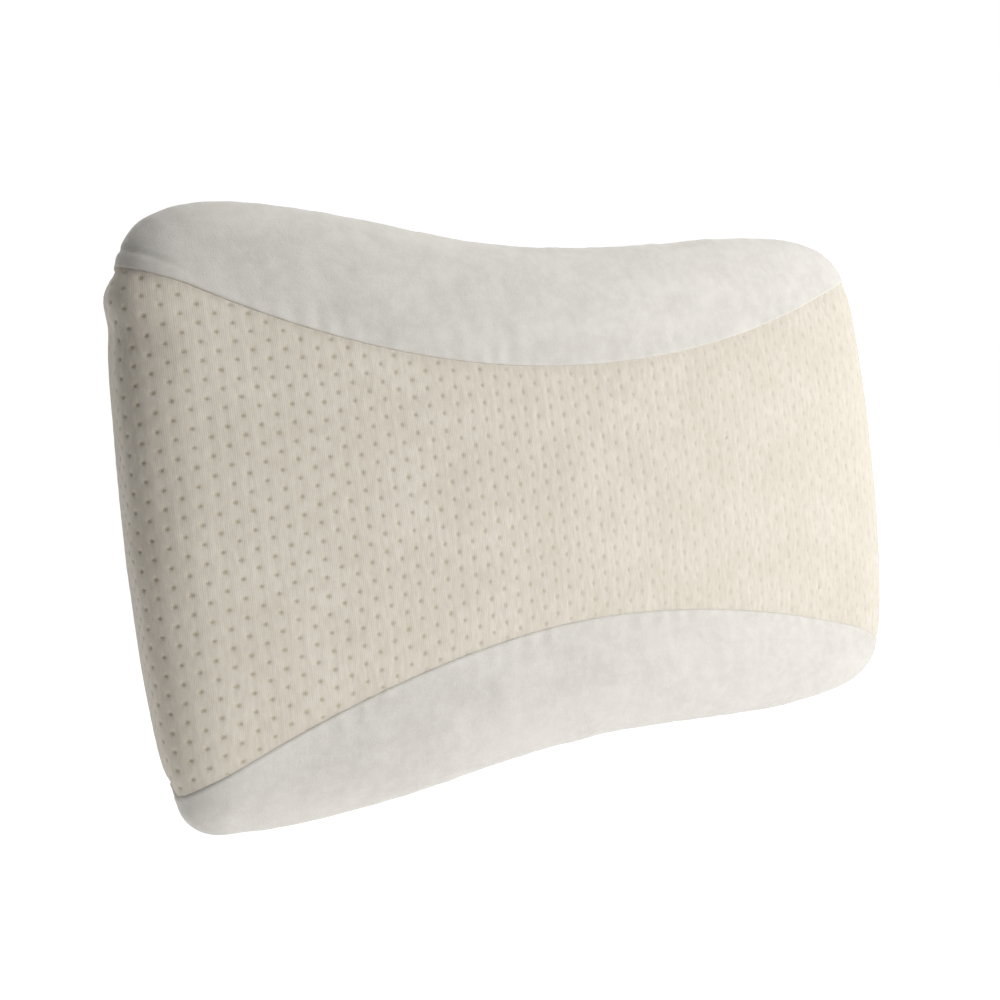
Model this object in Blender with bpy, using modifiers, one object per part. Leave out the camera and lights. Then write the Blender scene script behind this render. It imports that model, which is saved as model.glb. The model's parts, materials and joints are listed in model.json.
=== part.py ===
"""Lumbar support cushion: bow-tie foam cushion in a zipped cover.

Metres, +Z up. The cushion stands on its two lower lobes. X is its width, its front faces -Y
and its flat back lies in the plane y = 0. The origin is under the middle of the box it fills.
"""
import math

import bmesh
import bpy
from mathutils import Matrix, Vector

# Outline and section of the finished cushion
HALF_WIDTH = 0.2236
CENTRE_Z = 0.1446
UPPER_LOBE = 0.1549
UPPER_WAIST = 0.1276
LOWER_LOBE = 0.1489
LOWER_WAIST = 0.1312
LOBE_X = 0.1686
LOBE_POWER = 1.15
DEPTH = 0.078
CROWN = 0.012
END_BOW = 0.0016
CORNER_PULL_X = 0.0046
CORNER_PULL_Z = 0.0357
FRONT_INSET = 0.034
BACK_INSET = 0.024
SHIFT_Y = 0.0435

# Grid of the coarse cage: stations across the width, up the height and through the depth
COLUMNS = (-0.195, -0.105, 0.0, 0.105, 0.195)
ROWS = (-0.75, 0.0, 0.75)
LAYERS = (-0.018, -0.055)

# Seams on the front, as heights above and below the centre line
UPPER_SEAM_MIDDLE = 0.0650
UPPER_SEAM_END = 0.1230
UPPER_SEAM_POWER = 2.03
LOWER_SEAM_MIDDLE = 0.0706
LOWER_SEAM_END = 0.1185
LOWER_SEAM_POWER = 1.80
SEAM_STATIONS = 36
BACK_SEAM_Y = -0.010
GAP = 0.0004

# Layers from the outside in
COVER_THICKNESS = 0.0030
LINER_DEPTH = 0.0061
LINER_THICKNESS = 0.0009
FOAM_DEPTH = 0.0076
LINER_SEAM_Y = -0.030

# Zip across the back
ZIP_Z = 0.145
SLOT_HALF_LENGTH = 0.182
SLOT_HALF_WIDTH = 0.0036
TAPE_HALF_LENGTH = 0.180
TAPE_INNER_Z = 0.0020
TAPE_OUTER_Z = 0.0130
TAPE_TOP_Y = -0.0037
TAPE_THICKNESS = 0.0005
COIL_HALF_LENGTH = 0.1570
COIL_INNER_Z = 0.0006
COIL_WIDTH = 0.0011
COIL_TOP_Y = -0.00315
COIL_THICKNESS = 0.0016
STOP_LENGTH = 0.0030
CLEARANCE = 0.0003
SLIDER_X = 0.152
SLIDER_LENGTH = 0.0090
SLIDER_WIDTH = 0.0060
PLATE_THICKNESS = 0.0007
FLANGE_WIDTH = 0.0007
POST_LENGTH = 0.0016
POST_WIDTH = 0.0006
LUG_LENGTH = 0.0032
LUG_WIDTH = 0.0012
LUG_WALL = 0.0007
PIVOT_RADIUS = 0.0004
TAB_LENGTH = 0.0200
TAB_WIDTH = 0.0050
TAB_THICKNESS = 0.0008
TAB_EYE_LENGTH = 0.0038
TAB_EYE_WIDTH = 0.0024

LABEL_X = -0.060
LABEL_WIDTH = 0.040
LABEL_HEIGHT = 0.030
LABEL_THICKNESS = 0.0003


def clear_scene():
    for obj in list(bpy.data.objects):
        bpy.data.objects.remove(obj, do_unlink=True)
    for group in list(bpy.data.collections):
        bpy.data.collections.remove(group)


def new_collection(name):
    group = bpy.data.collections.new(name)
    bpy.context.scene.collection.children.link(group)
    return group


def add_material(obj, colour, roughness, metallic=0.0):
    mat = bpy.data.materials.new(obj.name)
    mat.use_nodes = True
    shader = mat.node_tree.nodes["Principled BSDF"]
    shader.inputs["Base Color"].default_value = (*colour, 1.0)
    shader.inputs["Roughness"].default_value = roughness
    shader.inputs["Metallic"].default_value = metallic
    mat.diffuse_color = (*colour, 1.0)
    obj.data.materials.append(mat)


def finish_object(bm, name, group, origin=(0.0, 0.0, 0.0), smooth=False):
    mesh = bpy.data.meshes.new(name)
    bmesh.ops.translate(bm, verts=bm.verts, vec=-Vector(origin))
    bmesh.ops.recalc_face_normals(bm, faces=bm.faces)
    bm.to_mesh(mesh)
    bm.free()
    obj = bpy.data.objects.new(name, mesh)
    obj.location = origin
    group.objects.link(obj)
    if smooth:
        mesh.shade_smooth()
    return obj


def mark_cutter(obj):
    obj.hide_render = True
    obj.display_type = "WIRE"
    return obj


def boolean(obj, other, operation):
    mod = obj.modifiers.new(operation.lower(), "BOOLEAN")
    mod.operation = operation
    mod.solver = "EXACT"
    mod.object = other


# ---------------------------------------------------------------- body of the cushion

def half_height(x, upper):
    """Half height of the waisted outline at a station across the width."""
    reach = min(abs(x) / LOBE_X, 1.0) ** LOBE_POWER
    rise = 0.5 * (1.0 - math.cos(math.pi * reach))
    if upper:
        return UPPER_WAIST + (UPPER_LOBE - UPPER_WAIST) * rise
    return LOWER_WAIST + (LOWER_LOBE - LOWER_WAIST) * rise


def cage_point(x, y, v):
    """Place one cage vertex: x and y in metres, v from -1 at the bottom to 1 at the top."""
    at_end = abs(abs(x) - HALF_WIDTH) < 1e-6
    at_rim = abs(abs(v) - 1.0) < 1e-6
    height = half_height(x, v > 0.0)
    z = v * height
    face = at_end or at_rim
    if at_end:
        x = math.copysign(HALF_WIDTH + END_BOW * (1.0 - v * v), x)
    if at_end and at_rim:
        x -= math.copysign(CORNER_PULL_X, x)
        z -= math.copysign(CORNER_PULL_Z, z)
    if not face and y < -0.5 * DEPTH:
        spread = (1.0 - (x / HALF_WIDTH) ** 2) * (1.0 - v * v)
        y -= CROWN * spread
    if not face:
        inset = FRONT_INSET if y < -0.5 * DEPTH else BACK_INSET
        if abs(abs(v) - abs(ROWS[0])) < 1e-6:
            z = math.copysign(height - inset, z)
        if abs(abs(x) - COLUMNS[-1]) < 1e-6:
            x = math.copysign(HALF_WIDTH - inset, x)
    return Vector((x, y, z + CENTRE_Z))


def add_body(name, group, levels):
    """Closed body from a cut-up box cage under a subdivision surface."""
    bm = bmesh.new()
    bmesh.ops.create_cube(bm, size=2.0)
    bmesh.ops.scale(bm, vec=(HALF_WIDTH, 0.5 * DEPTH, 1.0), verts=bm.verts)
    bmesh.ops.translate(bm, verts=bm.verts, vec=(0.0, -0.5 * DEPTH, 0.0))
    cuts = [((x, 0.0, 0.0), (1.0, 0.0, 0.0)) for x in COLUMNS]
    cuts += [((0.0, y, 0.0), (0.0, 1.0, 0.0)) for y in LAYERS]
    cuts += [((0.0, 0.0, v), (0.0, 0.0, 1.0)) for v in ROWS]
    for point, normal in cuts:
        geometry = bm.verts[:] + bm.edges[:] + bm.faces[:]
        bmesh.ops.bisect_plane(bm, geom=geometry, plane_co=point, plane_no=normal)
    for vert in bm.verts:
        vert.co = cage_point(*vert.co)
    bmesh.ops.translate(bm, verts=bm.verts, vec=(0.0, SHIFT_Y, 0.0))
    obj = finish_object(bm, name, group, smooth=True)
    mod = obj.modifiers.new("round", "SUBSURF")
    mod.levels = levels
    mod.render_levels = levels
    return obj


def inset_body(obj, depth):
    mod = obj.modifiers.new("inset", "DISPLACE")
    mod.direction = "NORMAL"
    mod.mid_level = 0.0
    mod.strength = -depth


def hollow(obj, thickness):
    mod = obj.modifiers.new("shell", "SOLIDIFY")
    mod.thickness = thickness
    mod.offset = -1.0
    mod.use_even_offset = True


def seam_height(x, upper):
    reach = min(abs(x) / HALF_WIDTH, 1.0)
    if upper:
        rise = (UPPER_SEAM_END - UPPER_SEAM_MIDDLE) * reach ** UPPER_SEAM_POWER
        return CENTRE_Z + UPPER_SEAM_MIDDLE + rise
    drop = (LOWER_SEAM_END - LOWER_SEAM_MIDDLE) * reach ** LOWER_SEAM_POWER
    return CENTRE_Z - LOWER_SEAM_MIDDLE - drop


def seam_line(upper, offset):
    """Points along one seam from left to right, moved up or down by an offset."""
    reach = HALF_WIDTH + 0.015
    points = [(-0.30, seam_height(-reach, upper) + offset)]
    for i in range(SEAM_STATIONS + 1):
        x = -reach + 2.0 * reach * i / SEAM_STATIONS
        points.append((x, seam_height(x, upper) + offset))
    points.append((0.30, seam_height(reach, upper) + offset))
    return points


def prism(name, group, outline, y_from, y_to):
    """Solid from a flat outline in the XZ plane, drawn out along Y and welded at its caps."""
    curve = bpy.data.curves.new(name, "CURVE")
    curve.dimensions = "2D"
    curve.fill_mode = "BOTH"
    curve.extrude = 0.5 * (y_to - y_from)
    spline = curve.splines.new("POLY")
    spline.points.add(len(outline) - 1)
    for point, (x, z) in zip(spline.points, outline):
        point.co = (x, z, 0.0, 1.0)
    spline.use_cyclic_u = True
    drawn = bpy.data.objects.new(name + "_outline", curve)
    group.objects.link(drawn)
    graph = bpy.context.evaluated_depsgraph_get()
    mesh = bpy.data.meshes.new_from_object(drawn.evaluated_get(graph))
    bpy.data.objects.remove(drawn)
    bm = bmesh.new()
    bm.from_mesh(mesh)
    bpy.data.meshes.remove(mesh)
    bmesh.ops.remove_doubles(bm, verts=bm.verts, dist=1e-6)
    turn = Matrix.Rotation(math.radians(90.0), 3, "X")
    bmesh.ops.rotate(bm, verts=bm.verts, matrix=turn)
    bmesh.ops.translate(bm, verts=bm.verts, vec=(0.0, 0.5 * (y_from + y_to) + SHIFT_Y, 0.0))
    return mark_cutter(finish_object(bm, name, group))


def slot_line(side):
    """Edge of a back panel along the zip slot, from left to right; side is 1 above, -1 below."""
    near = ZIP_Z + side * 0.5 * GAP
    far = ZIP_Z + side * SLOT_HALF_WIDTH
    return [(-0.30, near), (-SLOT_HALF_LENGTH, near), (-SLOT_HALF_LENGTH, far),
            (SLOT_HALF_LENGTH, far), (SLOT_HALF_LENGTH, near), (0.30, near)]


def add_panel(name, parts, cutters, outline, y_from, y_to, colour):
    body = add_body(name, parts, 2)
    hollow(body, COVER_THICKNESS)
    zone = prism(name + "_zone", cutters, outline, y_from, y_to)
    boolean(body, zone, "INTERSECT")
    add_material(body, colour, 0.95)
    return body


def add_cover(parts, cutters):
    half_gap = 0.5 * GAP
    front_from = -0.12
    front_to = BACK_SEAM_Y - half_gap
    above = [(0.30, 0.40), (-0.30, 0.40)]
    below = [(0.30, -0.10), (-0.30, -0.10)]
    band = seam_line(False, half_gap) + seam_line(True, -half_gap)[::-1]
    velour = (0.80, 0.78, 0.75)
    add_panel("front_mesh_panel", parts, cutters, band, front_from, front_to, (0.78, 0.74, 0.66))
    add_panel("upper_velour_panel", parts, cutters, seam_line(True, half_gap) + above,
              front_from, front_to, velour)
    add_panel("lower_velour_panel", parts, cutters, seam_line(False, -half_gap) + below,
              front_from, front_to, velour)
    back_from = BACK_SEAM_Y + half_gap
    add_panel("back_panel_upper", parts, cutters, slot_line(1) + above, back_from, 0.02, velour)
    add_panel("back_panel_lower", parts, cutters, slot_line(-1) + below, back_from, 0.02, velour)


def add_filling(parts, cutters):
    everywhere = [(-0.30, -0.10), (0.30, -0.10), (0.30, 0.40), (-0.30, 0.40)]
    half_gap = 0.5 * GAP
    halves = (("liner_front", -0.12, LINER_SEAM_Y - half_gap),
              ("liner_back", LINER_SEAM_Y + half_gap, 0.02))
    for name, y_from, y_to in halves:
        liner = add_body(name, parts, 1)
        inset_body(liner, LINER_DEPTH)
        hollow(liner, LINER_THICKNESS)
        zone = prism(name + "_zone", cutters, everywhere, y_from, y_to)
        boolean(liner, zone, "INTERSECT")
        add_material(liner, (0.90, 0.90, 0.88), 0.9)
    foam = add_body("foam_core", parts, 1)
    inset_body(foam, FOAM_DEPTH)
    add_material(foam, (0.92, 0.88, 0.74), 0.85)


# ---------------------------------------------------------------- zip

def box(name, group, low, high, bevel=0.0, origin=None):
    """Box between two corners, with rounded edges if a bevel is given."""
    low = Vector(low)
    high = Vector(high)
    shift = Vector((0.0, SHIFT_Y, ZIP_Z))
    centre = 0.5 * (low + high) + shift
    bm = bmesh.new()
    bmesh.ops.create_cube(bm, size=1.0)
    bmesh.ops.scale(bm, vec=high - low, verts=bm.verts)
    bmesh.ops.translate(bm, verts=bm.verts, vec=centre)
    obj = finish_object(bm, name, group, origin=centre if origin is None else origin)
    if bevel > 0.0:
        mod = obj.modifiers.new("edges", "BEVEL")
        mod.width = bevel
        mod.segments = 2
    return obj


def add_tapes(parts):
    low_y = TAPE_TOP_Y - TAPE_THICKNESS
    for side, name in ((1, "upper"), (-1, "lower")):
        edges = sorted((side * TAPE_INNER_Z, side * TAPE_OUTER_Z))
        tape = box("zip_tape_" + name, parts, (-TAPE_HALF_LENGTH, low_y, edges[0]),
                   (TAPE_HALF_LENGTH, TAPE_TOP_Y, edges[1]), 0.0001)
        add_material(tape, (0.85, 0.84, 0.80), 0.8)
        edges = sorted((side * COIL_INNER_Z, side * (COIL_INNER_Z + COIL_WIDTH)))
        coil = box("zip_coil_" + name, parts,
                   (-COIL_HALF_LENGTH, COIL_TOP_Y - COIL_THICKNESS, edges[0]),
                   (COIL_HALF_LENGTH, COIL_TOP_Y, edges[1]), 0.00035)
        add_material(coil, (0.88, 0.87, 0.84), 0.4)


def add_stops(parts):
    start = COIL_HALF_LENGTH + CLEARANCE
    low_y = COIL_TOP_Y - COIL_THICKNESS
    outer = COIL_INNER_Z + COIL_WIDTH
    for side, name in ((1, "upper"), (-1, "lower")):
        edges = sorted((side * 0.5 * COIL_INNER_Z, side * outer))
        stop = box("zip_top_stop_" + name, parts, (start, low_y, edges[0]),
                   (start + STOP_LENGTH, COIL_TOP_Y, edges[1]), 0.0002)
        add_material(stop, (0.75, 0.75, 0.77), 0.35, 1.0)
    bottom = box("zip_bottom_stop", parts, (-start - STOP_LENGTH, low_y, -outer),
                 (-start, COIL_TOP_Y, outer), 0.0002)
    add_material(bottom, (0.75, 0.75, 0.77), 0.35, 1.0)


def add_slider(parts, cutters):
    """Two plates joined by a post between the coils, flanges beside them and a lug on top."""
    half_length = 0.5 * SLIDER_LENGTH
    half_width = 0.5 * SLIDER_WIDTH
    top_low = COIL_TOP_Y + CLEARANCE
    top_high = top_low + PLATE_THICKNESS
    bottom_high = COIL_TOP_Y - COIL_THICKNESS - CLEARANCE
    bottom_low = bottom_high - PLATE_THICKNESS
    pivot_y = top_high + CLEARANCE + PIVOT_RADIUS
    lug_roof = pivot_y + PIVOT_RADIUS + CLEARANCE
    x = SLIDER_X
    origin = Vector((x, pivot_y + SHIFT_Y, ZIP_Z))
    slider = box("zip_slider", parts, (x - half_length, top_low, -half_width),
                 (x + half_length, top_high, half_width), 0.0002, origin)
    pieces = [box("slider_base", cutters, (x - half_length, bottom_low, -half_width),
                  (x + half_length, bottom_high, half_width), 0.0002)]
    post_x = x + half_length - 0.0012
    pieces.append(box("slider_post", cutters,
                      (post_x - POST_LENGTH, bottom_high - 0.0002, -0.5 * POST_WIDTH),
                      (post_x, top_low + 0.0002, 0.5 * POST_WIDTH)))
    flange_x = half_length - 0.0006
    for side in (1, -1):
        edges = sorted((side * (half_width - 0.0001), side * (half_width - FLANGE_WIDTH)))
        pieces.append(box("slider_flange_top_%d" % side, cutters,
                          (x - flange_x, TAPE_TOP_Y + CLEARANCE, edges[0]),
                          (x + flange_x, top_low + 0.0002, edges[1])))
        pieces.append(box("slider_flange_base_%d" % side, cutters,
                          (x - flange_x, bottom_high - 0.0002, edges[0]),
                          (x + flange_x, TAPE_TOP_Y - TAPE_THICKNESS - CLEARANCE, edges[1])))
    half_lug = 0.5 * LUG_LENGTH
    for side in (1, -1):
        edges = sorted((x + side * half_lug, x + side * (half_lug - LUG_WALL)))
        pieces.append(box("slider_lug_leg_%d" % side, cutters,
                          (edges[0], top_high - 0.0002, -0.5 * LUG_WIDTH),
                          (edges[1], lug_roof + 0.0001, 0.5 * LUG_WIDTH)))
    pieces.append(box("slider_lug_roof", cutters,
                      (x - half_lug, lug_roof, -0.5 * LUG_WIDTH),
                      (x + half_lug, lug_roof + 0.0006, 0.5 * LUG_WIDTH)))
    for piece in pieces:
        boolean(slider, mark_cutter(piece), "UNION")
    add_material(slider, (0.78, 0.78, 0.80), 0.3, 1.0)
    return origin


def add_tab(parts, cutters, origin):
    """Flat pull with an eye at one end; the round bar across the eye turns in the slider's lug."""
    y = origin.y - SHIFT_Y
    half_thick = 0.5 * TAB_THICKNESS
    half_width = 0.5 * TAB_WIDTH
    x = origin.x
    tab = box("zip_pull_tab", parts, (x - TAB_LENGTH, y - half_thick, -half_width),
              (x + 0.0001, y + half_thick, half_width), 0.00025, origin)
    eye = box("tab_eye", cutters, (x - TAB_EYE_LENGTH, y - 0.003, -0.5 * TAB_EYE_WIDTH),
              (x + 0.003, y + 0.003, 0.5 * TAB_EYE_WIDTH))
    boolean(tab, mark_cutter(eye), "DIFFERENCE")
    bm = bmesh.new()
    bmesh.ops.create_cone(bm, segments=16, radius1=PIVOT_RADIUS, radius2=PIVOT_RADIUS,
                          depth=TAB_WIDTH - 0.0004, cap_ends=True)
    bmesh.ops.translate(bm, verts=bm.verts, vec=origin)
    bar = finish_object(bm, "tab_bar", cutters, origin=origin)
    boolean(tab, mark_cutter(bar), "UNION")
    add_material(tab, (0.78, 0.78, 0.80), 0.3, 1.0)


def add_label(parts):
    top = -TAPE_OUTER_Z - CLEARANCE
    label = box("care_label", parts, (LABEL_X, TAPE_TOP_Y - LABEL_THICKNESS, top - LABEL_HEIGHT),
                (LABEL_X + LABEL_WIDTH, TAPE_TOP_Y, top), 0.00005)
    add_material(label, (0.95, 0.95, 0.94), 0.6)


def main():
    clear_scene()
    parts = new_collection("lumbar_cushion")
    cutters = new_collection("cutters")
    add_filling(parts, cutters)
    add_cover(parts, cutters)
    add_tapes(parts)
    add_stops(parts)
    pivot = add_slider(parts, cutters)
    add_tab(parts, cutters, pivot)
    add_label(parts)


main()
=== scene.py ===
from functools import partial
import json
import math

import bmesh
import bpy
import numpy as np
from mathutils import Matrix, Vector
from mathutils.kdtree import KDTree

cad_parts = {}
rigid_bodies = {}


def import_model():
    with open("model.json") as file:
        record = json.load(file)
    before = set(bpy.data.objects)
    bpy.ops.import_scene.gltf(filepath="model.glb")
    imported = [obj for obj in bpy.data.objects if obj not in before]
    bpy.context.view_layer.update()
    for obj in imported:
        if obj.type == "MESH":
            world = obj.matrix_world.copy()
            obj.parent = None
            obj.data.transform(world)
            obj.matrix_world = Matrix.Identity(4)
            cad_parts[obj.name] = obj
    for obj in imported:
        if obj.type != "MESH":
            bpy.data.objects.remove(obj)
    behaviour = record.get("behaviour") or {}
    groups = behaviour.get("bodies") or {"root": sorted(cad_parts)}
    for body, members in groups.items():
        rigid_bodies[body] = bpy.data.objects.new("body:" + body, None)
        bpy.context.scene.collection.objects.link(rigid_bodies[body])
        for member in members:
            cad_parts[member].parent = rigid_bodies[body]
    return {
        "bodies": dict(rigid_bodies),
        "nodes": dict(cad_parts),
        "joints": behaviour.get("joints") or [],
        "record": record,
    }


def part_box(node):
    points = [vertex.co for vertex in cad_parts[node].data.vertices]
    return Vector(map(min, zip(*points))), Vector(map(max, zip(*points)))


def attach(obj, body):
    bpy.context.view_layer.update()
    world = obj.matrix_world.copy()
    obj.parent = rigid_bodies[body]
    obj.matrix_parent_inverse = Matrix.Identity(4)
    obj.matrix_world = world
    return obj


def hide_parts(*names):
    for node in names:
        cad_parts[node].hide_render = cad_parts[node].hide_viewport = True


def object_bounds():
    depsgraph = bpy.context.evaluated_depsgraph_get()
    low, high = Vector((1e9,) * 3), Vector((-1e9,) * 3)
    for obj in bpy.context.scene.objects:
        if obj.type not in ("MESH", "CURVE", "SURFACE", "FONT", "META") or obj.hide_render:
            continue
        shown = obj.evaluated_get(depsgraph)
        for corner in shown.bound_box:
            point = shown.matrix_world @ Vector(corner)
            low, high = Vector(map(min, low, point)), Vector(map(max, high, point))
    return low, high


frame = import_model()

CAD_LOW, CAD_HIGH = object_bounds()

# Cushion form, in metres. Heights are measured from the centre line.
BACK_Y = float(CAD_HIGH[1])
CENTRE_Z = 0.1473
HALF_WIDTH = 0.225
DEPTH = 0.0768
CROWN_X = 0.0020
CROWN_Z = 0.0060
FRONT_INSET = 0.030
FRONT_ROUND = 0.020
BACK_EDGE = 0.018
UPPER_LOBES = (0.1552, 0.1444)
LOWER_LOBES = (0.1473, 0.1476)
UPPER_WAIST = 0.1340
LOWER_WAIST = 0.1388
UPPER_LOBE_X = 0.1919
LOWER_LOBE_X = 0.1532
LOBE_POWER = 0.963
# Squareness of the corners, left and right
UPPER_CORNERS = (8.8, 9.25)
LOWER_CORNERS = (12.7, 9.4)
# Bow of each end: factors of 1, s squared, s and s cubed, where s is the height over END_HEIGHT
END_HEIGHT = 0.15
LEFT_END = (1.0, -0.0291, 0.0040, 0.0092)
RIGHT_END = (1.016, -0.0363, 0.0024, 0.0040)

# Seams on the front: middle height, left end, right end, power
UPPER_SEAM = (0.0643, 0.1250, 0.1190, 2.01)
LOWER_SEAM = (0.0708, 0.1253, 0.1175, 1.84)
BACK_SEAM_DEPTH = 0.010
# How far each seam end turns away from the middle on its way round the edge, in radians:
# factors of t, t squared and t cubed, where t goes from 0 to 1
SEAM_BENDS = {"upper_left": (-0.002, 0.0385, 0.0417), "upper_right": (-0.049, -0.006, 0.0),
              "lower_left": (-0.090, 0.149, -0.047), "lower_right": (0.0295, 0.0116, 0.0045)}
# Width of the painted shade line along the seams
CREASE_WIDTH = 0.0008

# Rows of the form round the front edge, down the wall and round the back edge
ROUND_STEPS = 12
WALL_ROWS = np.linspace(0.08, 1.0, 13)

# Eyelet knit
EYELET_PITCH_Z = 0.00866
EYELET_PITCH_X = 0.00758
WALE_PITCH = 0.00095
COURSE_PITCH = 0.00072

# Zip, where the CAD has it
ZIP_Z = 0.5 * (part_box("zip_coil_upper")[0][2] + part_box("zip_coil_lower")[1][2])
SLOT_HALF_LENGTH = 0.182
SLOT_HALF_WIDTH = 0.0036
SLOT_END = 0.004


# ---- form of the cushion

def unit(value):
    """Value kept between 0 and 1."""
    return np.clip(value, 0.0, 1.0)


def smooth(value):
    """Ease from 0 to 1 as value goes from 0 to 1."""
    t = unit(value)
    return t * t * (3.0 - 2.0 * t)


def bell(value, width):
    """Bump of height 1 round value 0."""
    return np.exp(-(value / width) ** 2)


def xyz(x, y, z):
    """Points from their coordinates; a single number serves for all of them."""
    return np.stack(np.broadcast_arrays(x, y, z), -1)


def lengths_along(track):
    """Distance from the start of a line of points to each of them."""
    return np.concatenate([[0.0], np.cumsum(np.linalg.norm(np.diff(track, axis=0), axis=1))])


def by_quarter(u, up, upper, lower):
    """The value for each quarter of the cushion, from left and right values above and below."""
    return np.where(up, np.where(u < 0.0, *upper), np.where(u < 0.0, *lower))


def half_height(x, up):
    """Height of the outline over the centre line, up or down, at x."""
    reach = np.where(up, UPPER_LOBE_X, LOWER_LOBE_X)
    t = unit(np.abs(x) / reach) ** LOBE_POWER
    lobe = by_quarter(x, up, UPPER_LOBES, LOWER_LOBES)
    waist = np.where(up, UPPER_WAIST, LOWER_WAIST)
    return waist + (lobe - waist) * 0.5 * (1.0 - np.cos(np.pi * t))


def outline(psi):
    """Point of the front outline in the direction psi, measured from +X towards +Z."""
    u, v = np.cos(psi), np.sin(psi)
    up = v > 0.0
    power = by_quarter(u, up, UPPER_CORNERS, LOWER_CORNERS)
    k = (np.abs(u) ** power + np.abs(v) ** power) ** (-1.0 / power)
    x = HALF_WIDTH * u * k
    z = v * k * half_height(x, up)
    s = np.clip(z / END_HEIGHT, -1.1, 1.1)
    left, right = (end[0] + end[1] * s ** 2 + end[2] * s + end[3] * s ** 3
                   for end in (LEFT_END, RIGHT_END))
    return x * np.where(u < 0.0, left, right), z


def outline_normal(psi):
    """Direction square to the outline, pointing out of the cushion."""
    step = 1e-4
    x0, z0 = outline(psi - step)
    x1, z1 = outline(psi + step)
    nx, nz = z1 - z0, x0 - x1
    length = np.hypot(nx, nz)
    return nx / length, nz / length


def front_y(x, z):
    """Depth of the crowned front face."""
    across = 1.0 - unit(np.abs(x) / HALF_WIDTH) ** 2
    height = half_height(x, z > 0.0)
    upward = 1.0 - np.clip(z / height, -1.0, 1.0) ** 2
    return BACK_Y - DEPTH - CROWN_X * across - CROWN_Z * upward


def front_normal(x, z):
    step = 5e-4
    gx = (front_y(x + step, z) - front_y(x - step, z)) / (2.0 * step)
    gz = (front_y(x, z + step) - front_y(x, z - step)) / (2.0 * step)
    length = np.sqrt(gx ** 2 + 1.0 + gz ** 2)
    return xyz(gx / length, -1.0 / length, gz / length)


def front_seam(x, up):
    """Height of the upper or the lower front seam at x."""
    middle, left, right, power = UPPER_SEAM if up else LOWER_SEAM
    end = np.where(x < 0.0, left, right)
    height = middle + (end - middle) * (np.abs(x) / HALF_WIDTH) ** power
    return height if up else -height


CORNER_SPREAD = 4.0


def inset_direction(psi, x):
    """Outward direction that turns slowly round the corners, so that an inset edge never folds."""
    u, v = np.cos(psi), np.sin(psi)
    step = 1e-3
    up = v > 0.0
    rise = (half_height(x + step, up) - half_height(x - step, up)) / (2.0 * step)
    side, top = np.abs(u) ** CORNER_SPREAD, np.abs(v) ** CORNER_SPREAD
    out_x = side * np.sign(u) - top * rise
    out_z = top * np.sign(v)
    length = np.hypot(out_x, out_z)
    return out_x / length, out_z / length


def rim(psi, inset):
    """Outline and inner edge of the rounding at psi, and the direction from one to the other."""
    x, z = outline(psi)
    nx, nz = inset_direction(psi, x)
    xi, zi = x - inset * nx, z - inset * nz
    return x, z, nx, nz, xi, zi


def front_section(psi, steps_round, wall):
    """Rows from the front rounding to the wall. wall lists fractions from rounding to back edge.

    Returns points and normals, one row for each step, the first on the edge of the front face.
    """
    x, z, nx, nz, xi, zi = rim(psi, FRONT_INSET)
    y0 = front_y(xi, zi)
    normal = front_normal(xi, zi)
    slope = np.clip(np.arcsin(normal[:, 0] * nx + normal[:, 2] * nz), 0.0, 0.5)
    first = np.arctan(FRONT_INSET / FRONT_ROUND * np.tan(slope))
    inset = FRONT_INSET / (1.0 - np.sin(first))
    rows, normals = [], []
    for t in np.linspace(0.0, 1.0, steps_round + 1):
        phi = first + (0.5 * np.pi - first) * t
        d = inset * (1.0 - np.sin(phi))
        y = y0 + FRONT_ROUND * (np.cos(first) - np.cos(phi))
        rows.append(xyz(x - d * nx, y, z - d * nz))
        out, back = FRONT_ROUND * np.sin(phi), inset * np.cos(phi)
        length = np.hypot(out, back)
        out, back = out / length, back / length
        normals.append(xyz(out * nx, -back, out * nz))
    start = y0 + FRONT_ROUND * np.cos(first)
    end = BACK_Y - BACK_EDGE
    wx, wz = outline_normal(psi)
    for t in wall:
        rows.append(xyz(x, start + (end - start) * t, z))
        normals.append(xyz(wx, 0.0, wz))
    return rows, normals


def back_section(psi, angles):
    """Rows round the back edge; angle 0 is the wall and pi/2 the back face."""
    x, z, nx, nz, _, _ = rim(psi, BACK_EDGE)
    rows, normals = [], []
    for phi in angles:
        d = BACK_EDGE * (1.0 - math.cos(phi))
        rows.append(xyz(x - d * nx, BACK_Y - BACK_EDGE * (1.0 - math.sin(phi)), z - d * nz))
        normals.append(xyz(math.cos(phi) * nx, math.sin(phi), math.cos(phi) * nz))
    return rows, normals


BACK_SEAM_ANGLE = math.asin(1.0 - BACK_SEAM_DEPTH / BACK_EDGE)


def wrapped_section(psi, bends, angles):
    """Front and back rows together, with psi turned by the seam ends' bends on the way round."""
    front, _ = front_section(psi, ROUND_STEPS, WALL_ROWS)
    back, _ = back_section(psi, angles)
    along = lengths_along([row[0] for row in front + back])
    rows, normals = [], []
    for number, t in enumerate(along / along[-1]):
        turned = psi + sum(weight * (bend[0] * t + bend[1] * t ** 2 + bend[2] * t ** 3)
                           for weight, bend in bends)
        if number < len(front):
            place, facing = front_section(turned, ROUND_STEPS, WALL_ROWS)
        else:
            place, facing = back_section(turned, angles)
            number -= len(front)
        rows.append(place[number])
        normals.append(facing[number])
    return rows, normals


def seam_bend(up, left):
    """Signed turn of a seam end: away from the middle is up on top and down below."""
    bend = np.array(SEAM_BENDS[("upper_" if up else "lower_") + ("left" if left else "right")])
    return bend if up != left else -bend


HALVINGS = 50


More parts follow.
